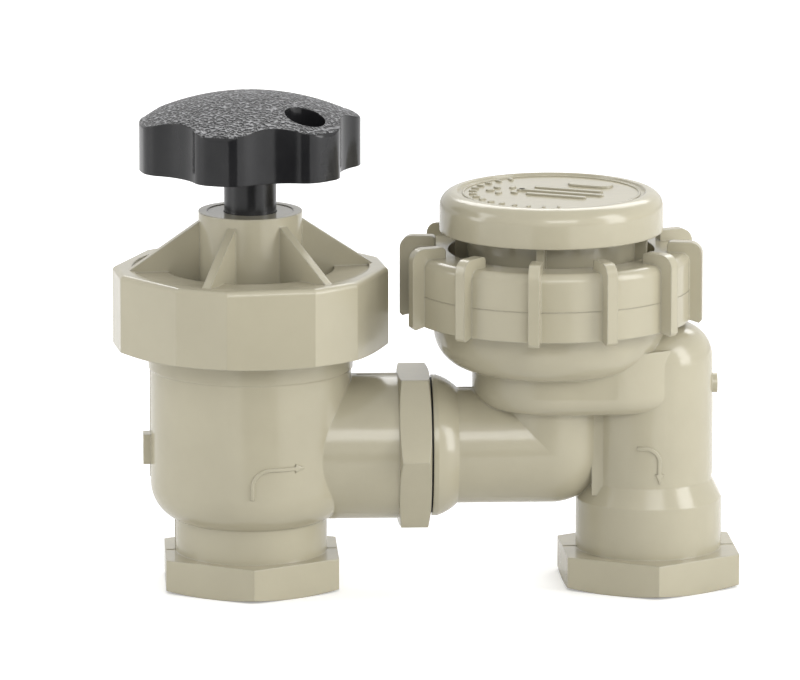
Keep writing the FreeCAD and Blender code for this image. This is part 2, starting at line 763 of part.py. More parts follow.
def make_stem():
    """Threaded stem: square drive above, thread in the hub and a swivel button below."""
    body = new_body("stem", turn=wheel_turn)
    turned(body, "shaft", [
        (0, button_bottom),
        (swivel_button, button_bottom),
        (swivel_button, button_top),
        (swivel_neck, button_top),
        (swivel_neck, stem_thread_base),
        (stem_thread, stem_thread_base),
        (stem_thread, stem_thread_top - stem_stop_gap),
        (stem_radius, stem_thread_top - stem_stop_gap),
        (stem_radius, square_bottom),
        (0, square_bottom),
    ])
    block(body, "square", (-stem_square / 2, -stem_square / 2, square_bottom),
          (stem_square, stem_square, square_length))
    rod(body, "screw_hole", screw_shank, wheel_screw_grip, cut=True, z=stem_top - wheel_screw_grip)
    return body


def make_disc_holder():
    """Cup that carries the seat washer and snaps over the stem's swivel button."""
    body = new_body("disc_holder")
    turned(body, "holder", [
        (0, washer_top),
        (washer_radius, washer_top),
        (washer_radius, washer_top - holder_rim),
        (washer_radius + holder_rim, washer_top - holder_rim),
        (washer_radius + holder_rim, holder_plate_top),
        (holder_hub, holder_plate_top),
        (holder_hub, holder_top),
        (0, holder_top),
    ])
    turned(body, "swivel_socket", [
        (0, button_bottom - swivel_gap),
        (swivel_button + swivel_gap, button_bottom - swivel_gap),
        (swivel_button + swivel_gap, button_top + swivel_gap),
        (swivel_neck + swivel_gap, button_top + swivel_gap),
        (swivel_neck + swivel_gap, holder_top + overcut),
        (0, holder_top + overcut),
    ], cut=True)
    rod(body, "screw_hole", screw_shank, screw_grip, cut=True, z=washer_top)
    return body


def make_seat_washer():
    """Flat rubber washer that closes on the seat."""
    body = new_body("seat_washer")
    turned(body, "washer", [
        (screw_shank, washer_bottom),
        (washer_radius, washer_bottom),
        (washer_radius, washer_top),
        (screw_shank, washer_top),
    ])
    return body


def make_screw(node, shank_top, shank_length, head_radius, head_height, head_up):
    """Round-headed screw with a straight slot, head up or down."""
    body = new_body(node)
    way = 1 if head_up else -1
    head_end = shank_top + way * head_height
    turned(body, "screw", [
        (0, shank_top - way * shank_length),
        (screw_shank, shank_top - way * shank_length),
        (screw_shank, shank_top),
        (head_radius, shank_top),
        (head_radius, shank_top + way * head_height / 2),
        (head_radius - head_height / 2, head_end),
        (0, head_end),
    ])
    slot_low = head_end - head_height / 2 if head_up else head_end - overcut
    block(body, "slot", (-head_radius, -screw_slot / 2, slot_low),
          (2 * head_radius, screw_slot, head_height / 2 + overcut), cut=True)
    return body


def make_handwheel():
    """Six-lobed handwheel with a crowned top, a hollow underside and a hanging hole through one lobe."""
    body = new_body("handwheel", turn=wheel_turn)
    rod(body, "blank", wheel_radius, wheel_height, z=wheel_bottom)
    valley = rod(body, "valley", wheel_scallop, wheel_height + 2 * overcut, cut=True,
                 x=wheel_valley + wheel_scallop, z=wheel_bottom - overcut)
    ring_of(body, "valleys", valley, 6)
    round_edges(body, "lobe_corners", wheel_corner, lambda edge: (
        near(edge.BoundBox.ZMin, wheel_bottom)
        and edge.BoundBox.ZLength > 1
        and edge.BoundBox.XLength < 0.01
        and edge.BoundBox.YLength < 0.01))
    turned(body, "crown", [
        (0, wheel_top),
        (wheel_shoulder_radius, wheel_shoulder, wheel_crown, -1),
        (wheel_radius, wheel_shoulder - wheel_edge, wheel_edge, -1),
        (wheel_radius + overcut, wheel_shoulder - wheel_edge),
        (wheel_radius + overcut, wheel_top + overcut),
        (0, wheel_top + overcut),
    ], cut=True)
    turned(body, "underside", [
        (wheel_hub, wheel_bottom - overcut),
        (wheel_pocket_radius, wheel_bottom - overcut),
        (wheel_pocket_radius, wheel_bottom + wheel_pocket_depth),
        (wheel_hub, wheel_bottom + wheel_pocket_depth),
    ], cut=True)
    web = plate(body, "web", [
        (wheel_hub - 1, wheel_bottom + 1),
        (wheel_pocket_radius + 1, wheel_bottom + 1),
        (wheel_pocket_radius + 1, wheel_bottom + wheel_pocket_depth + 1),
        (wheel_hub - 1, wheel_bottom + wheel_pocket_depth + 1),
    ], wheel_web)
    ring_of(body, "webs", web, 6)
    turned(body, "stem_socket", [
        (0, wheel_bottom - overcut),
        (stem_radius + running_gap, wheel_bottom - overcut),
        (stem_radius + running_gap, square_bottom),
        (0, square_bottom),
    ], cut=True)
    block(body, "square_socket", (-stem_square / 2, -stem_square / 2, wheel_bottom),
          (stem_square, stem_square, stem_top - wheel_bottom), cut=True)
    turned(body, "screw_seat", [
        (0, wheel_bottom),
        (screw_shank, wheel_bottom),
        (screw_shank, stem_top + wheel_screw_seat),
        (cover_radius - 1, stem_top + wheel_screw_seat),
        (cover_radius - 1, cover_seat),
        (cover_radius, cover_seat),
        (cover_radius, wheel_top + overcut),
        (0, wheel_top + overcut),
    ], cut=True)
    hole = body.newObject("PartDesign::SubtractiveCylinder", "hanging_hole")
    bind(hole, "Radius", wheel_hole)
    bind(hole, "Height", wheel_height + 2 * overcut)
    place(hole, wheel_hole_offset * COS30, -wheel_hole_offset / 2, wheel_bottom - overcut)
    return body


def make_handwheel_cover():
    """Round button that covers the handwheel's screw."""
    body = new_body("handwheel_cover")
    turned(body, "cover", [
        (0, cover_seat),
        (cover_radius, cover_seat),
        (cover_radius, wheel_top - cover_thickness / 6),
        (0, wheel_top),
    ])
    return body


def make_joint_seal():
    """Flat rubber ring between the globe body's side outlet and the breaker's flare."""
    body = new_body("joint_seal")
    turned(body, "seal", [
        (side_end, socket_bore),
        (flare_start, socket_bore),
        (flare_start, socket_bore + joint_seal_width),
        (side_end, socket_bore + joint_seal_width),
    ], about="X", z=pipe_height)
    return body


# ---------------------------------------------------------------- breaker side

def make_breaker_body():
    """Breaker body: elbow up into the bowl, riser with the poppet's lower seat, and outlet pipe down."""
    body = new_body("breaker_body")
    spigot_start = side_end - socket_depth + spigot_end_gap
    turned(body, "inlet_pipe", [
        (spigot_start, 0),
        (spigot_start, socket_bore - spigot_gap),
        (flare_start, socket_bore - spigot_gap),
        (flare_start, flare_radius),
        (flare_start + flare_rim, flare_radius),
        (flare_start + flare_length, breaker_pipe, flare_bend, -1),
        (bowl_offset, breaker_pipe),
        (bowl_offset, 0),
    ], about="X", z=pipe_height)
    ball(body, "elbow", breaker_pipe, x=bowl_offset, z=pipe_height)
    rod(body, "leg", breaker_pipe, bowl_floor - pipe_height + bowl_foot_bend, x=bowl_offset, z=pipe_height)
    block(body, "leg_web", (bowl_offset + web_start, -web_reach, pipe_height - web_drop),
          (web_length, 2 * web_reach, web_drop + bowl_floor - pipe_height + bowl_foot_bend))
    bend_bottom = bowl_foot - bowl_foot_bend
    turned(body, "bowl", [
        (0, bowl_floor),
        (bend_bottom, bowl_floor),
        (bowl_foot, bowl_floor + bowl_foot_bend, bowl_foot_bend, 1),
        (bowl_foot, bowl_waist),
        (bowl_radius, bowl_waist + bowl_bend, bowl_bend, 1),
        (bowl_radius, breaker_neck_bottom - (breaker_neck - bowl_radius)),
        (breaker_neck, breaker_neck_bottom),
        (breaker_neck, breaker_rim),
        (0, breaker_rim),
    ], x=bowl_offset)
    block(body, "foot_floor", (bowl_offset, -bend_bottom, bowl_floor),
          (foot_reach, 2 * bend_bottom, foot_top - bowl_floor))
    block(body, "foot", (bowl_offset, -bowl_foot, bowl_floor + bowl_foot_bend),
          (foot_reach, 2 * bowl_foot, foot_top - bowl_floor - bowl_foot_bend))
    for name, side in (("foot_bend_front", -bend_bottom), ("foot_bend_back", bend_bottom)):
        rod(body, name, bowl_foot_bend, foot_reach, x=bowl_offset, y=side, z=bowl_floor + bowl_foot_bend,
            turn=ALONG_X)
    turned(body, "foot_end", [
        (0, bowl_floor),
        (bend_bottom, bowl_floor),
        (bowl_foot, bowl_floor + bowl_foot_bend, bowl_foot_bend, 1),
        (bowl_foot, foot_top),
        (0, foot_top),
    ], x=foot_end)
    turned(body, "outlet_pipe", [
        (0, 0),
        (outlet_boss, 0),
        (outlet_boss, outlet_boss_top),
        (outlet_pipe, outlet_cone_top),
        (outlet_pipe, outlet_top - outlet_dome),
        (outlet_pipe - outlet_dome, outlet_top, outlet_dome, 1),
        (0, outlet_top),
    ], x=port_spacing)
    port_hexagon(body, port_spacing, outlet_hex_turn.number)
    rod(body, "gate_mark", outlet_gate, 2 * outlet_gate_radial, x=port_spacing + outlet_pipe - outlet_gate_radial,
        z=outlet_top - outlet_gate_drop, turn=ALONG_X)
    turned(body, "bowl_hollow", [
        (0, moat_floor),
        (foot_inside, moat_floor),
        (foot_inside, foot_ceiling),
        (bowl_radius - bowl_wall, bowl_waist + bowl_bend, bowl_bend - bowl_wall, 1),
        (bowl_radius - bowl_wall, breaker_rim + overcut),
        (0, breaker_rim + overcut),
    ], cut=True, x=bowl_offset)
    block(body, "foot_hollow", (bowl_offset, -foot_inside, moat_floor),
          (foot_reach, 2 * foot_inside, foot_ceiling - moat_floor), cut=True)
    rod(body, "foot_end_hollow", foot_inside, foot_ceiling - moat_floor, cut=True, x=foot_end, z=moat_floor)
    turned(body, "riser", [
        (0, bowl_floor),
        (riser_radius, bowl_floor),
        (riser_radius, riser_top - (riser_wall - riser_lip)),
        (breaker_bore + riser_lip, riser_top),
        (0, riser_top),
    ], x=bowl_offset)
    rod(body, "inlet_bore", breaker_bore, bowl_offset - spigot_start, cut=True, x=spigot_start,
        z=pipe_height, turn=ALONG_X)
    ball(body, "elbow_bore", breaker_bore, cut=True, x=bowl_offset, z=pipe_height)
    rod(body, "riser_bore", breaker_bore, riser_top - pipe_height, cut=True, x=bowl_offset, z=pipe_height)
    rod(body, "outlet_bore", outlet_bore, outlet_top - outlet_roof, cut=True, x=port_spacing)
    rod(body, "outlet_port", port_bore, port_depth, cut=True, x=port_spacing)
    return body


def make_ring_nut():
    """Screwed ring with twelve hooked lugs round its outside for the hand."""
    body = new_body("ring_nut", x=bowl_offset, turn=nut_turn)
    turned(body, "ring", [
        (nut_thread, nut_bottom),
        (nut_radius, nut_bottom),
        (nut_radius, nut_top - nut_edge),
        (nut_radius - nut_edge, nut_top, nut_edge, 1),
        (nut_opening, nut_top),
        (nut_opening, nut_roof_bottom),
        (nut_thread, nut_roof_bottom),
    ])
    root = nut_radius - 1
    lug = plate(body, "lug", [
        (root, lug_bottom + lug_thickness),
        (nut_radius, lug_bottom + lug_thickness / 4),
        (lug_radius - lug_thickness / 4, lug_bottom),
        (lug_radius, lug_bottom + lug_thickness / 4),
        (lug_radius, lug_top - lug_corner),
        (lug_radius - lug_corner, lug_top, lug_corner, 1),
        (lug_inner + lug_hook_corner, lug_top),
        (lug_inner, lug_top - lug_hook_corner, lug_hook_corner, 1),
        (lug_inner, nut_top - nut_edge / 2),
        (root - nut_edge, nut_top - nut_edge),
        (root, nut_top - 2 * nut_edge),
    ], lug_thickness)
    ring_of(body, "lugs", lug, LUG_COUNT)
    return body


def make_vent_bonnet():
    """Flanged plug with the air seat, the vent tube, four posts for the cap and the poppet's guide."""
    body = new_body("vent_bonnet", x=bowl_offset, turn=nut_turn)
    groove_radius = vent_plug - 2 * vent_ring
    groove_low = vent_ring_height - vent_ring
    groove_high = vent_ring_height + vent_ring
    floor_top = vent_plug_bottom + vent_floor
    turned(body, "plug", [
        (vent_seat_bore, vent_seat),
        (vent_seat_bore + vent_seat_width, vent_seat),
        (vent_seat_bore + vent_seat_width, vent_plug_bottom),
        (vent_plug, vent_plug_bottom),
        (vent_plug, groove_low),
        (groove_radius, groove_low),
        (groove_radius, groove_high),
        (vent_plug, groove_high),
        (vent_plug, breaker_rim),
        (vent_flange, breaker_rim),
        (vent_flange, nut_roof_bottom),
        (vent_tube, nut_roof_bottom),
        (vent_tube, vent_tube_top),
        (vent_tube - vent_tube_wall, vent_tube_top),
        (vent_tube - vent_tube_wall, floor_top),
        (vent_seat_bore, floor_top),
    ])
    inside_wall = vent_tube - vent_tube_wall / 2
    post = plate(body, "post", [
        (inside_wall, nut_roof_bottom - 1),
        (post_reach, nut_roof_bottom - 1),
        (post_reach, post_top),
        (inside_wall, post_top),
    ], post_width)
    ring_of(body, "posts", post, 4)
    rod(body, "guide_hub", guide_hub, guide_height, z=guide_bottom)
    spoke = block(body, "guide_spoke", (0, -guide_spoke / 2, guide_bottom),
                  (inside_wall, guide_spoke, guide_height))
    ring_of(body, "guide_spokes", spoke, 3)
    rod(body, "guide_bore", poppet_pin + guide_gap, guide_height + 2 * overcut, cut=True,
        z=guide_bottom - overcut)
    return body


def make_vent_cap():
    """Round rain cap over the vent tube, open all round underneath."""
    body = new_body("vent_cap", x=bowl_offset, turn=nut_turn)
    turned(body, "cap", [
        (0, post_top),
        (cap_radius - cap_wall, post_top),
        (cap_radius - cap_wall, cap_bottom),
        (cap_radius, cap_bottom),
        (cap_radius, cap_top - cap_edge),
        (cap_radius - cap_edge, cap_top, cap_edge, 1),
        (cap_disc, cap_top),
        (cap_disc - cap_disc_drop / 2, cap_top - cap_disc_drop),
        (0, cap_top - cap_disc_drop),
    ])
    return body


def make_poppet():
    """Floating disc with a guide pin: it rests on the riser and rises to shut the vent."""
    body = new_body("poppet", x=bowl_offset)
    turned(body, "disc", [
        (0, riser_top),
        (poppet_radius, riser_top),
        (poppet_radius, poppet_top),
        (poppet_collar, poppet_top),
        (poppet_collar, poppet_seal_top),
        (poppet_bead, poppet_seal_top),
        (poppet_collar, poppet_seal_top + poppet_bead_height),
        (poppet_pin, poppet_seal_top + poppet_bead_height),
        (poppet_pin, poppet_pin_top),
        (0, poppet_pin_top),
    ])
    return body


def make_poppet_seal():
    """Rubber washer on the poppet."""
    body = new_body("poppet_seal", x=bowl_offset)
    turned(body, "seal", [
        (poppet_collar, poppet_top),
        (poppet_seal_radius, poppet_top),
        (poppet_seal_radius, poppet_seal_top),
        (poppet_collar, poppet_seal_top),
    ])
    return body


# ---------------------------------------------------------------- build, check and write

def check(piece):
    """Stop if the document holds a failed feature or the piece has no sound solid."""
    for item in doc.Objects:
        if any(word in item.State for word in ("Invalid", "Error")):
            raise RuntimeError(f"{item.Name} failed")
    if piece.Shape.isNull() or not piece.Shape.isValid() or not piece.Shape.Solids:
        raise RuntimeError(f"{piece.Label} has no valid solid")


pieces = [
    make_valve_body(),
    make_bonnet(),
    ring("bonnet_o_ring", rim_groove_inner + rim_ring, rim_ring, z=rim_height - rim_ring),
    make_gland_ring(),
    make_stem_o_rings(),
    make_stem(),
    make_disc_holder(),
    make_seat_washer(),
    make_screw("washer_screw", washer_bottom, washer_thickness + screw_grip, screw_head,
               screw_head_height, head_up=False),
    make_handwheel(),
    make_screw("handwheel_screw", stem_top + wheel_screw_seat, wheel_screw_grip + wheel_screw_seat,
               wheel_screw_head, wheel_screw_head_height, head_up=True),
    make_handwheel_cover(),
    make_joint_seal(),
    make_breaker_body(),
    make_ring_nut(),
    make_vent_bonnet(),
    make_vent_cap(),
    ring("vent_o_ring", vent_plug - vent_ring, vent_ring, x=bowl_offset, z=vent_ring_height),
    make_poppet(),
    make_poppet_seal(),
]

doc.recompute()
os.makedirs("parts", exist_ok=True)
for piece in pieces:
    check(piece)
    piece.Shape.exportStep(f"parts/{piece.Label}.step")
    box = piece.Shape.BoundBox
    print(f"{piece.Label}: {len(piece.Shape.Solids)} solids, {piece.Shape.Volume:.1f} mm3,"
          f" Z {box.ZMin:.2f} to {box.ZMax:.2f}")
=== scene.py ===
import json
import math

import bmesh
import bpy
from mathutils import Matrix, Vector


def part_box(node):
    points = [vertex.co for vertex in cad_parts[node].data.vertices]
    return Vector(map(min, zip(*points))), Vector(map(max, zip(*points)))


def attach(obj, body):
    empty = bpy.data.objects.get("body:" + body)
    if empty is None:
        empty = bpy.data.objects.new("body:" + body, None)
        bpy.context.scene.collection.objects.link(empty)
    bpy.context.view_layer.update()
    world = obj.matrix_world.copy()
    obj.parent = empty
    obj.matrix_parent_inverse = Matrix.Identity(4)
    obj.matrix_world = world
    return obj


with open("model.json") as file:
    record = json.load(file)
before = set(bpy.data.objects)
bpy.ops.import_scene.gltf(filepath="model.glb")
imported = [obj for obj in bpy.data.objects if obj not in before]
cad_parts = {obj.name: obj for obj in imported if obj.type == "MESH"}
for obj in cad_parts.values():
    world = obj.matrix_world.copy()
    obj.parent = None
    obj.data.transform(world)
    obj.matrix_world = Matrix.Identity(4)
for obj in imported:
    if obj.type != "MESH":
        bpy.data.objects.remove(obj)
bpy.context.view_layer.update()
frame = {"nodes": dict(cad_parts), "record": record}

MM = 0.001

# ---------------------------------------------------------------- places read from the frame

record = frame["record"]
mounts = {mount["name"]: mount for mount in record["mounts"]}
PORT_RADIUS = mounts["inlet"]["dims"]["r_mm"] * MM
PORT_DEPTH = mounts["inlet"]["dims"]["length_mm"] * MM
INLET = Vector(mounts["inlet"]["pos_m"])
OUTLET = Vector(mounts["outlet"]["pos_m"])


def middle(node):
    """Centre of a node's box at rest."""
    low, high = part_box(node)
    return (Vector(low) + Vector(high)) / 2


def top_of(node):
    """Highest point of a node at rest."""
    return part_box(node)[1][2]


BOWL = Vector((middle("ring_nut").x, 0, 0))


# ---------------------------------------------------------------- material helpers

def new_material(name):
    """A node material with its Principled shader."""
    material = bpy.data.materials.new(name)
    material.use_nodes = True
    shader = material.node_tree.nodes["Principled BSDF"]
    return material, material.node_tree, shader


def add(tree, kind, **values):
    """One shader node; values set its properties."""
    node = tree.nodes.new(kind)
    for key, value in values.items():
        setattr(node, key, value)
    return node


def noise(tree, scale, detail=3.0, rough=0.55):
    """Noise in the object's own space, scale in features per metre."""
    place = add(tree, "ShaderNodeTexCoord")
    node = add(tree, "ShaderNodeTexNoise")
    node.inputs["Scale"].default_value = scale
    node.inputs["Detail"].default_value = detail
    node.inputs["Roughness"].default_value = rough
    tree.links.new(place.outputs["Object"], node.inputs["Vector"])
    return node.outputs["Fac"]


def span(tree, source, low, high, start=0.0, end=1.0):
    """Map a value from one range to another."""
    node = add(tree, "ShaderNodeMapRange")
    node.inputs["From Min"].default_value = start
    node.inputs["From Max"].default_value = end
    node.inputs["To Min"].default_value = low
    node.inputs["To Max"].default_value = high
    tree.links.new(source, node.inputs["Value"])
    return node.outputs["Result"]


def product(tree, first, second):
    """Multiply two values."""
    node = add(tree, "ShaderNodeMath", operation="MULTIPLY")
    tree.links.new(first, node.inputs[0])
    tree.links.new(second, node.inputs[1])
    return node.outputs["Value"]


def blend_colours(tree, factor, first, second):
    """Mix two colours; either may be a plain value or a socket."""
    node = add(tree, "ShaderNodeMix", data_type="RGBA")
    if isinstance(factor, float):
        node.inputs["Factor"].default_value = factor
    else:
        tree.links.new(factor, node.inputs["Factor"])
    for socket, colour in (("A", first), ("B", second)):
        target = [item for item in node.inputs if item.name == socket and item.type == "RGBA"][0]
        if isinstance(colour, tuple):
            target.default_value = (*colour, 1)
        else:
            tree.links.new(colour, target)
    return [item for item in node.outputs if item.type == "RGBA"][0]


def edge_mask(tree, radius):
    """0 on open faces, rising at sharp edges."""
    bevel = add(tree, "ShaderNodeBevel", samples=4)
    bevel.inputs["Radius"].default_value = radius
    plain = add(tree, "ShaderNodeNewGeometry")
    dot = add(tree, "ShaderNodeVectorMath", operation="DOT_PRODUCT")
    tree.links.new(bevel.outputs["Normal"], dot.inputs[0])
    tree.links.new(plain.outputs["Normal"], dot.inputs[1])
    return span(tree, dot.outputs["Value"], 1.0, 0.0, 0.6, 0.93), bevel.outputs["Normal"]


def bump(tree, height, strength, distance, normal=None):
    """Bump from a height, over an earlier normal if there is one."""
    node = add(tree, "ShaderNodeBump")
    node.inputs["Strength"].default_value = strength
    node.inputs["Distance"].default_value = distance
    tree.links.new(height, node.inputs["Height"])
    if normal is not None:
        tree.links.new(normal, node.inputs["Normal"])
    return node.outputs["Normal"]


# ---------------------------------------------------------------- materials

FLOW_SCALE = 45      # features per metre of each noise
PEEL_SCALE = 260
SPECK_SCALE = 900


def moulded_plastic(name, colour, edge_highlight_colour, edge_radius, roughness, grain=0.12):
    """Moulded plastic: soft edges, faint flow marks, orange peel and sharp edges painted lighter as a painted
    edge highlight.
    """
    material, tree, shader = new_material(name)
    edges, soft = edge_mask(tree, edge_radius)
    flow = noise(tree, FLOW_SCALE, 4)
    specks = noise(tree, SPECK_SCALE, 2)
    dark = tuple(part * 0.955 for part in colour)
    light = tuple(min(part * 1.035, 1) for part in colour)
    body = blend_colours(tree, span(tree, flow, 0, 1, 0.3, 0.7), dark, light)
    # Painted edge highlight: sharp edges are blended towards the lighter edge colour.
    edge_highlit = blend_colours(tree, span(tree, edges, 0, 0.55), body, edge_highlight_colour)
    tree.links.new(edge_highlit, shader.inputs["Base Color"])
    shader.inputs["Roughness"].default_value = roughness
    peel = bump(tree, noise(tree, PEEL_SCALE, 2), grain, 0.4 * MM, soft)
    fine = bump(tree, specks, grain * 0.5, 0.12 * MM, peel)
    tree.links.new(fine, shader.inputs["Normal"])
    shader.inputs["Specular IOR Level"].default_value = 0.5
    return material


GRAIN_SCALE = 1350   # grain cells per metre
GRAIN_HEIGHT = 1.6 * MM
WARP_SCALE = 420     # noise that pulls the cells out of shape, features per metre
WARP_REACH = 1.6 * MM


def handwheel_plastic():
    """Black plastic with a leather-like grain on what faces up, painted highlights on its grain crests, a painted
    edge highlight and a smooth gloss on the sides.
    """
    material, tree, shader = new_material("black_grained")
    edges, soft = edge_mask(tree, 0.4 * MM)
    place = add(tree, "ShaderNodeTexCoord")
    cells = add(tree, "ShaderNodeTexVoronoi", feature="SMOOTH_F1")
    cells.inputs["Scale"].default_value = GRAIN_SCALE
    cells.inputs["Smoothness"].default_value = 0.4
    warp = add(tree, "ShaderNodeVectorMath", operation="ADD")
    shift = add(tree, "ShaderNodeTexNoise")
    shift.inputs["Scale"].default_value = WARP_SCALE
    scaled = add(tree, "ShaderNodeVectorMath", operation="SCALE")
    scaled.inputs["Scale"].default_value = WARP_REACH
    tree.links.new(place.outputs["Object"], shift.inputs["Vector"])
    tree.links.new(shift.outputs["Color"], scaled.inputs[0])
    tree.links.new(place.outputs["Object"], warp.inputs[0])
    tree.links.new(scaled.outputs["Vector"], warp.inputs[1])
    tree.links.new(warp.outputs["Vector"], cells.inputs["Vector"])
    geometry = add(tree, "ShaderNodeNewGeometry")
    split = add(tree, "ShaderNodeSeparateXYZ")
    tree.links.new(geometry.outputs["Normal"], split.inputs["Vector"])
    upward = span(tree, split.outputs["Z"], 0, 1, 0.55, 0.8)
    tall = product(tree, cells.outputs["Distance"], upward)
    grain = bump(tree, tall, 1.0, GRAIN_HEIGHT, soft)
    peel = bump(tree, noise(tree, 300, 2), 0.1, 0.3 * MM, grain)
    tree.links.new(peel, shader.inputs["Normal"])
    shade = blend_colours(tree, span(tree, noise(tree, 60), 0, 1, 0.3, 0.7),
                          (0.010, 0.010, 0.011), (0.018, 0.018, 0.019))
    # Painted highlights: the grain crests on what faces up are painted pale grey, standing in for glints of the
    # top light.
    glint_mask = product(tree, span(tree, cells.outputs["Distance"], 0, 1, 0.50, 0.80), upward)
    glint_painted = blend_colours(tree, glint_mask, shade, (0.26, 0.26, 0.27))
    # Painted edge highlight: sharp edges are blended towards a lighter grey.
    edge_highlit = blend_colours(tree, span(tree, edges, 0, 0.4), glint_painted, (0.05, 0.05, 0.052))
    tree.links.new(edge_highlit, shader.inputs["Base Color"])
    tree.links.new(span(tree, upward, 0.14, 0.36), shader.inputs["Roughness"])
    shader.inputs["Specular IOR Level"].default_value = 0.38
    return material


def steel():
    """Plain zinc-coated steel with turning marks."""
    material, tree, shader = new_material("screw_steel")
    shader.inputs["Metallic"].default_value = 1.0
    shade = blend_colours(tree, span(tree, noise(tree, 200), 0, 1, 0.3, 0.7),
                          (0.50, 0.50, 0.49), (0.62, 0.62, 0.60))
    tree.links.new(shade, shader.inputs["Base Color"])
    tree.links.new(span(tree, noise(tree, 700), 0.25, 0.42), shader.inputs["Roughness"])
    tree.links.new(bump(tree, noise(tree, 1500), 0.15, 0.1 * MM), shader.inputs["Normal"])
    return material


BEIGE = (0.412, 0.380, 0.279)
# The third value of each look is its painted edge highlight colour, lighter than the plastic itself.
beige = moulded_plastic("beige_moulded", BEIGE, (0.52, 0.49, 0.40), 0.5 * MM, 0.17)
black = moulded_plastic("black_moulded", (0.012, 0.012, 0.013), (0.04, 0.04, 0.042), 0.4 * MM, 0.26)
rubber = moulded_plastic("black_rubber", (0.012, 0.012, 0.012), (0.02, 0.02, 0.02), 0.3 * MM, 0.6, 0.3)
pale = moulded_plastic("pale_moulded", (0.66, 0.65, 0.60), (0.72, 0.71, 0.68), 0.4 * MM, 0.38)
grained = handwheel_plastic()
metal = steel()

LOOKS = {
    "beige_plastic": beige,
    "black_plastic": black,
    "black_rubber": rubber,
    "steel": metal,
    "white_plastic": pale,
}


def dress(piece, material):
    """Give every face of a piece one material."""
    piece.data.materials.clear()
    piece.data.materials.append(material)


for part in record["subparts"]:
    dress(frame["nodes"][part["node"]], LOOKS[part["material_slot"]])
dress(frame["nodes"]["handwheel"], grained)
dress(frame["nodes"]["handwheel_cover"], grained)


# ---------------------------------------------------------------- mesh helpers

def new_piece(name, verts, faces, body, material, smooth=True):
    """A mesh piece that rides on a body."""
    mesh = bpy.data.meshes.new(name)
    mesh.from_pydata([tuple(vert) for vert in verts], [], faces)
    mesh.validate()
    shell = bmesh.new()
    shell.from_mesh(mesh)
    bmesh.ops.recalc_face_normals(shell, faces=shell.faces)
    shell.to_mesh(mesh)
    shell.free()
    for face in mesh.polygons:
        face.use_smooth = smooth
    piece = bpy.data.objects.new(name, mesh)
    bpy.context.scene.collection.objects.link(piece)
    dress(piece, material)
    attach(piece, body)


def swept(sections, closed=False):
    """Vertices and faces of a tube whose cross-sections are given one after another."""
    verts = [point for section in sections for point in section]
    width = len(sections[0])
    faces = []
    steps = len(sections) if closed else len(sections) - 1
    for step in range(steps):
        after = (step + 1) % len(sections)
        for side in range(width):
            following = (side + 1) % width
            faces.append((step * width + side, step * width + following,
                          after * width + following, after * width + side))
    if not closed:
        faces.append(tuple(range(width)))
        last = (len(sections) - 1) * width
        faces.append(tuple(last + side for side in reversed(range(width))))
    return verts, faces


# ---------------------------------------------------------------- port threads

THREAD_PITCH = 1.814 * MM
THREAD_HEIGHT = 1.15 * MM
THREAD_SINK = 0.15 * MM
THREAD_START = 0.8 * MM
THREAD_END = 1.8 * MM     # plain stretch at the inner end


def port_thread(name, mouth):
    """Helical ridge of the female pipe thread, fading out at both ends."""
    steps_per_turn = 48
    turns = (PORT_DEPTH - THREAD_START - THREAD_END) / THREAD_PITCH
    steps = int(turns * steps_per_turn)
    sections = []
    for step in range(steps + 1):
        turn = step / steps_per_turn
        angle = 2 * math.pi * turn
        height = THREAD_START + turn * THREAD_PITCH
        fade = min(1, turn / 0.5, (turns - turn) / 0.75)
        crest = PORT_RADIUS - max(fade, 0.02) * THREAD_HEIGHT
        root = PORT_RADIUS + THREAD_SINK
        half_root = 0.46 * THREAD_PITCH
        half_crest = 0.06 * THREAD_PITCH
        around = Vector((math.cos(angle), math.sin(angle), 0))
        sections.append([mouth + around * radius + Vector((0, 0, height + lift)) for radius, lift in (
            (root, -half_root), (crest, -half_crest), (crest, half_crest), (root, half_root))])
    verts, faces = swept(sections)
    new_piece(name, verts, faces, "body", beige, smooth=False)


port_thread("inlet_thread", INLET)
port_thread("outlet_thread", OUTLET)


# ---------------------------------------------------------------- raised marks

def on_cylinder(axis, radius, along, height, proud):
    """Point on an upright cylinder: along is the arc length from its front, towards +X."""
    angle = along / radius
    reach = radius + proud
    return Vector((axis.x + reach * math.sin(angle), axis.y - reach * math.cos(angle), height))


def raised_band(name, axis, radius, path, widths, proud, body, material, sink=0.15 * MM):
    """Raised band that follows a path of (along, height) round an upright cylinder."""
    sections = []
    for index, (along, height) in enumerate(path):
        before = path[max(index - 1, 0)]
        after = path[min(index + 1, len(path) - 1)]
        way = Vector((after[0] - before[0], after[1] - before[1])).normalized()
        side = Vector((-way.y, way.x))
        half = widths[index] / 2
        sections.append([
            on_cylinder(axis, radius, along + side.x * offset, height + side.y * offset, level)
            for offset, level in ((half, -sink), (half * 0.7, proud), (-half * 0.7, proud), (-half, -sink))])
    verts, faces = swept(sections)
    new_piece(name, verts, faces, body, material, smooth=False)


def quarter_arrow(name, axis, radius, start, first, bend, last, turning, proud=0.32 * MM):
    """Flow arrow: a straight run, a quarter turn to one side and a second run that ends in a head."""
    width = 1.15 * MM
    head_width = 2.6 * MM
    head_length = 2.4 * MM
    heading = Vector(first[1])
    side = Vector((-heading.y, heading.x)) * turning
    place = Vector(start)
    path = [tuple(place)]
    for step in range(1, 4):
        path.append(tuple(place + heading * first[0] * step / 3))
    place = place + heading * first[0]
    centre = place + side * bend
    for step in range(1, 11):
        angle = math.pi / 2 * step / 10
        path.append(tuple(centre - side * bend * math.cos(angle) + heading * bend * math.sin(angle)))
    place = centre + heading * bend
    for step in range(1, 7):
        path.append(tuple(place + side * (last - head_length) * step / 6))
    widths = [width] * len(path)
    place = place + side * (last - head_length)
    for share in (0.02, 0.5, 1.0):
        path.append(tuple(place + side * head_length * share))
        widths.append(max(head_width * (1 - share), 0.15 * MM))
    raised_band(name, axis, radius, path, widths, proud, "body", beige)


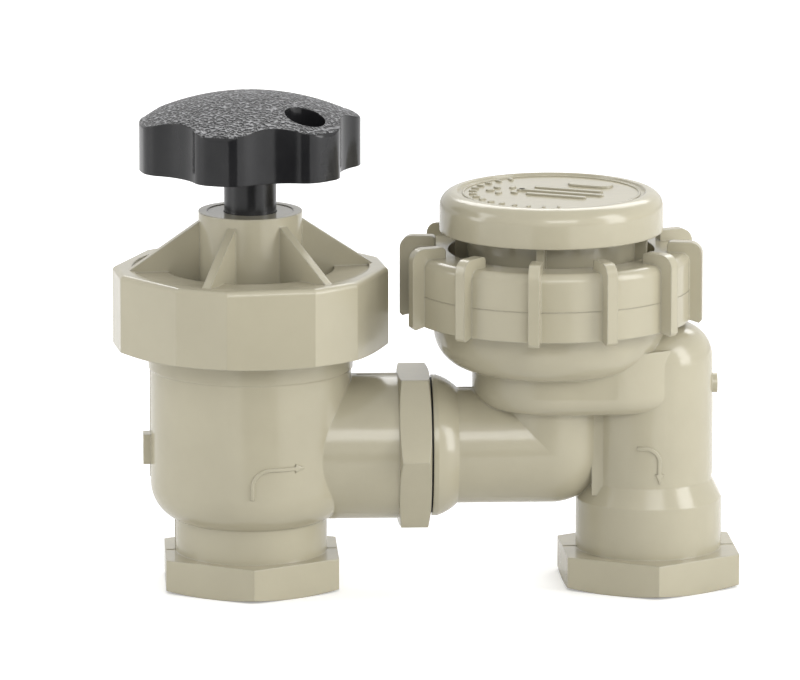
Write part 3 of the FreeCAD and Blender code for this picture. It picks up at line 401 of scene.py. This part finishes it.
GLOBE_RADIUS = 23.3 * MM
OUTLET_RADIUS = 14.75 * MM
UP = (0, 1)
ACROSS = (1, 0)
quarter_arrow("inlet_arrow", INLET, GLOBE_RADIUS, (-0.3 * MM, 24.6 * MM), (2.8 * MM, UP), 4.2 * MM, 8.4 * MM, -1)
quarter_arrow("outlet_arrow", OUTLET, OUTLET_RADIUS, (-3.6 * MM, 34.0 * MM), (2.0 * MM, ACROSS), 3.2 * MM,
              5.2 * MM, -1)


SEAM_WIDTH = 0.32 * MM
SEAM_HEIGHT = 0.12 * MM


def upright_seam(name, axis, radius, side, low, high):
    """Mould parting line up the left or right side of an upright cylinder."""
    along = side * radius * math.pi / 2
    path = [(along, low + (high - low) * step / 8) for step in range(9)]
    raised_band(name, axis, radius, path, [SEAM_WIDTH] * len(path), SEAM_HEIGHT, "body", beige)


def ridge(name, start, end, out, width=0.34 * MM, proud=SEAM_HEIGHT, sink=0.1 * MM):
    """Straight mould parting line from one point to another on a flat or along a pipe."""
    start, end, out = Vector(start), Vector(end), Vector(out)
    across = (end - start).normalized().cross(out)
    sections = [[place + across * width / 2 - out * sink, place + across * width / 5 + out * proud,
                 place - across * width / 5 + out * proud, place - across * width / 2 - out * sink]
                for place in (start, end)]
    verts, faces = swept(sections)
    new_piece(name, verts, faces, "body", beige, smooth=False)


HEX_TOP = 8.0 * MM
HEX_FLAT = 20.0 * MM
INLET_BOSS = 17.6 * MM
OUTLET_BOSS = 16.9 * MM
PIPE_HEIGHT = 32.3 * MM
upright_seam("globe_seam_low", INLET, GLOBE_RADIUS, -1, 25.5 * MM, 28.6 * MM)
upright_seam("globe_seam_high", INLET, GLOBE_RADIUS, -1, 36.0 * MM, 51.0 * MM)
upright_seam("inlet_boss_seam", INLET, INLET_BOSS, -1, HEX_TOP, 16.0 * MM)
upright_seam("outlet_seam", OUTLET, OUTLET_RADIUS, 1, 25.0 * MM, 43.6 * MM)
upright_seam("outlet_boss_seam", OUTLET, OUTLET_BOSS, 1, HEX_TOP, 19.6 * MM)
for label, centre, boss in (("inlet", INLET, INLET_BOSS), ("outlet", OUTLET, OUTLET_BOSS)):
    for side_label, side in (("left", -1), ("right", 1)):
        ridge(f"{label}_hex_seam_{side_label}", (centre.x + side * boss, 0, HEX_TOP),
              (centre.x + side * (HEX_FLAT - 0.2 * MM), 0, HEX_TOP), (0, 0, 1))
for label, start, end, reach, side in (("side_pipe_seam_under", 24.5, 33.8, 16.9, -1),
                                       ("side_pipe_seam_top", 24.5, 33.8, 16.9, 1),
                                       ("elbow_pipe_seam_under", 48.2, 57.0, 13.5, -1),
                                       ("elbow_pipe_seam_top", 48.2, 52.5, 13.5, 1)):
    height = PIPE_HEIGHT + side * reach * MM
    ridge(label, (start * MM, 0, height), (end * MM, 0, height), (0, 0, side))


# ---------------------------------------------------------------- parting line of the ring nut

NUT_RADIUS = 32.3 * MM
NUT_SEAM = 69.8 * MM


BAND_STEPS = 144
BAND_SINK = 0.1 * MM


def ring_band(name, axis, radius, height, width, proud, body, material, out=True):
    """Closed raised ring: round an upright cylinder, or flat on top of a disc."""
    sections = []
    for step in range(BAND_STEPS):
        angle = 2 * math.pi * step / BAND_STEPS
        around = Vector((math.cos(angle), math.sin(angle), 0))
        if out:
            shape = ((-BAND_SINK, -width / 2), (proud, -width / 6), (proud, width / 6), (-BAND_SINK, width / 2))
        else:
            shape = ((-width / 2, -BAND_SINK), (-width / 4, proud), (width / 4, proud), (width / 2, -BAND_SINK))
        sections.append([Vector((axis.x, axis.y, height)) + around * (radius + reach) + Vector((0, 0, rise))
                         for reach, rise in shape])
    verts, faces = swept(sections, closed=True)
    new_piece(name, verts, faces, body, material)


ring_band("nut_seam", BOWL, NUT_RADIUS, NUT_SEAM, 0.36 * MM, 0.14 * MM, "nut", beige)


# ---------------------------------------------------------------- relief on the cap

CAP_DISC_DROP = 0.6 * MM
CAP_DISC = top_of("vent_cap") - CAP_DISC_DROP
RELIEF = 0.42 * MM
RELIEF_SINK = 0.1 * MM
PLATE_RELIEF = 0.5 * MM
MARK_SLANT = -24     # degrees


def prism(name, outline, low, high, body, material, draft=0.12 * MM):
    """Upright prism over an outline, a little smaller at the top."""
    middle_point = sum((Vector(point) for point in outline), Vector((0, 0))) / len(outline)
    verts = []
    for level, inset in ((low, 0), (high, draft)):
        for point in outline:
            spot = Vector(point)
            inward = middle_point - spot
            spot = spot + inward.normalized() * min(inset, inward.length / 2)
            verts.append((BOWL.x + spot.x, spot.y, level))
    count = len(outline)
    faces = [tuple(range(count))[::-1], tuple(range(count, 2 * count))]
    faces += [(side, (side + 1) % count, count + (side + 1) % count, count + side) for side in range(count)]
    new_piece(name, verts, faces, body, material, smooth=False)


def oblong(centre, length, width, angle):
    """Outline of a bar with round ends."""
    points = []
    turn = math.radians(angle)
    along = Vector((math.cos(turn), math.sin(turn)))
    across = Vector((-along.y, along.x))
    for end in (1, -1):
        for step in range(9):
            swing = math.radians(-90 + 180 * step / 8)
            reach = along * math.cos(swing) * end + across * math.sin(swing) * end
            points.append(tuple(Vector(centre) + along * end * (length - width) / 2 + reach * width / 2))
    return points


def cap_mark(name, outline, height=RELIEF):
    """One raised mark on the cap's sunk disc."""
    prism(name, outline, CAP_DISC - RELIEF_SINK, CAP_DISC + height, "vent_unit", beige)


cap_mark("cap_plate", oblong((9.6 * MM, 8.6 * MM), 11.0 * MM, 5.2 * MM, MARK_SLANT), PLATE_RELIEF)
for index, (x, y, length) in enumerate(((4.2, 3.0, 17.0), (2.2, -0.6, 21.0), (0.8, -4.4, 15.0))):
    cap_mark(f"cap_bar_{index + 1}", oblong((x * MM, y * MM), length * MM, 1.5 * MM, MARK_SLANT))
ring_band("cap_ring", BOWL, 20.4 * MM, CAP_DISC, 0.7 * MM, 0.3 * MM, "vent_unit", beige,
          out=False)
for index in range(15):
    turn = math.radians(118 + index * 11)
    spot = (18.2 * MM * math.cos(turn), 18.2 * MM * math.sin(turn))
    cap_mark(f"cap_tick_{index + 1}", oblong(spot, 2.0 * MM, 0.8 * MM, math.degrees(turn)))
for index in range(6):
    turn = math.radians(index * 60)
    spot = (-10.4 * MM + 3.6 * MM * math.cos(turn), 3.2 * MM + 3.6 * MM * math.sin(turn))
    cap_mark(f"cap_dot_{index + 1}", oblong(spot, 2.2 * MM, 1.4 * MM, math.degrees(turn)))


# ---------------------------------------------------------------- camera

AZIMUTH = math.radians(-2.46)
ELEVATION = math.radians(11.67)
DISTANCE = 2.2
MM_PER_PIXEL = 0.2316
IMAGE_WIDTH = 800
TARGET = Vector((0.0346, 0, 0.0572))

forward = Vector((-math.sin(AZIMUTH) * math.cos(ELEVATION), math.cos(AZIMUTH) * math.cos(ELEVATION),
                  -math.sin(ELEVATION)))
camera_data = bpy.data.cameras.new("camera")
camera_data.sensor_width = 36
camera_data.lens = 36 * DISTANCE / (IMAGE_WIDTH * MM_PER_PIXEL * MM)
camera_data.clip_end = 20
camera = bpy.data.objects.new("camera", camera_data)
camera.location = TARGET - forward * DISTANCE
camera.rotation_euler = forward.to_track_quat("-Z", "Y").to_euler()
bpy.context.scene.collection.objects.link(camera)
bpy.context.scene.camera = camera


# ---------------------------------------------------------------- studio

LIGHT_AIM = Vector((0.046, 0, 0.05))


def area_light(name, place, size, power):
    """A soft box that points at the object."""
    data = bpy.data.lights.new(name, "AREA")
    data.shape = "RECTANGLE"
    data.size, data.size_y = size
    data.energy = power
    light = bpy.data.objects.new(name, data)
    light.location = place
    aim = LIGHT_AIM - light.location
    light.rotation_euler = aim.to_track_quat("-Z", "Y").to_euler()
    bpy.context.scene.collection.objects.link(light)


area_light("right_box", Vector((0.85, -0.35, 0.35)), (0.35, 0.9), 5.5)
area_light("left_box", Vector((-0.85, -0.10, 0.35)), (0.3, 0.9), 3.0)
area_light("back_box", Vector((0.15, 0.75, 0.75)), (1.0, 0.5), 6.0)
area_light("front_box", Vector((0.20, -0.85, 0.50)), (0.5, 0.3), 2.3)



def paper_sheet(name, corners, look_name, shade):
    """Flat matt sheet of the stage; returns the sheet, its node tree and its shader."""
    mesh = bpy.data.meshes.new(name)
    mesh.from_pydata(corners, [], [(0, 1, 2, 3)])
    sheet = bpy.data.objects.new(name, mesh)
    bpy.context.scene.collection.objects.link(sheet)
    look, tree, shader = new_material(look_name)
    shader.inputs["Base Color"].default_value = (shade, shade, shade, 1)
    shader.inputs["Roughness"].default_value = 0.9
    shader.inputs["Specular IOR Level"].default_value = 0.0
    mesh.materials.append(look)
    return sheet, tree, shader


# Dark strip on the floor in front, seen only in reflections: glossy sides mirror it as a dark band.
RUNNER_NEAR, RUNNER_FAR = -0.14, -1.2
RUNNER_NEAR_HALF, RUNNER_FAR_HALF = 0.055, 0.375
RUNNER_LIFT = 1.0 * MM
centre = (INLET.x + BOWL.x) / 2
runner, _, _ = paper_sheet("dark_runner", [
    (centre - RUNNER_FAR_HALF, RUNNER_FAR, RUNNER_LIFT), (centre + RUNNER_FAR_HALF, RUNNER_FAR, RUNNER_LIFT),
    (centre + RUNNER_NEAR_HALF, RUNNER_NEAR, RUNNER_LIFT), (centre - RUNNER_NEAR_HALF, RUNNER_NEAR, RUNNER_LIFT)],
    "black_paper", 0.005)
runner.visible_camera = False
runner.visible_diffuse = False
runner.visible_shadow = False

# White world: at full strength where it is seen or mirrored, lower where it only lights the object.
WORLD_FILL = 0.64
world = bpy.data.worlds.new("studio")
bpy.context.scene.world = world
world.use_nodes = True
sky = world.node_tree
background = sky.nodes["Background"]
paths = add(sky, "ShaderNodeLightPath")
shown = paths.outputs["Is Camera Ray"]
for ray in ("Is Transmission Ray", "Is Glossy Ray"):
    either = add(sky, "ShaderNodeMath", operation="ADD")
    sky.links.new(shown, either.inputs[0])
    sky.links.new(paths.outputs[ray], either.inputs[1])
    shown = either.outputs["Value"]
sky.links.new(span(sky, shown, WORLD_FILL, 1.0), background.inputs["Strength"])
background.inputs["Color"].default_value = (1, 1, 1, 1)

# Pale floor, a little brighter to the camera, so that it meets the white world without an edge.
FLOOR_REACH = 6.0
FLOOR_GLOW = 0.3
_, floor_tree, floor_shader = paper_sheet("floor", [
    (-FLOOR_REACH, -FLOOR_REACH, 0), (FLOOR_REACH, -FLOOR_REACH, 0), (FLOOR_REACH, FLOOR_REACH, 0),
    (-FLOOR_REACH, FLOOR_REACH, 0)], "floor_paper", 0.86)
floor_paths = add(floor_tree, "ShaderNodeLightPath")
glow = span(floor_tree, floor_paths.outputs["Is Camera Ray"], 0.0, FLOOR_GLOW)
floor_shader.inputs["Emission Color"].default_value = (1, 1, 1, 1)
floor_tree.links.new(glow, floor_shader.inputs["Emission Strength"])

bpy.context.scene.view_settings.view_transform = "Standard"
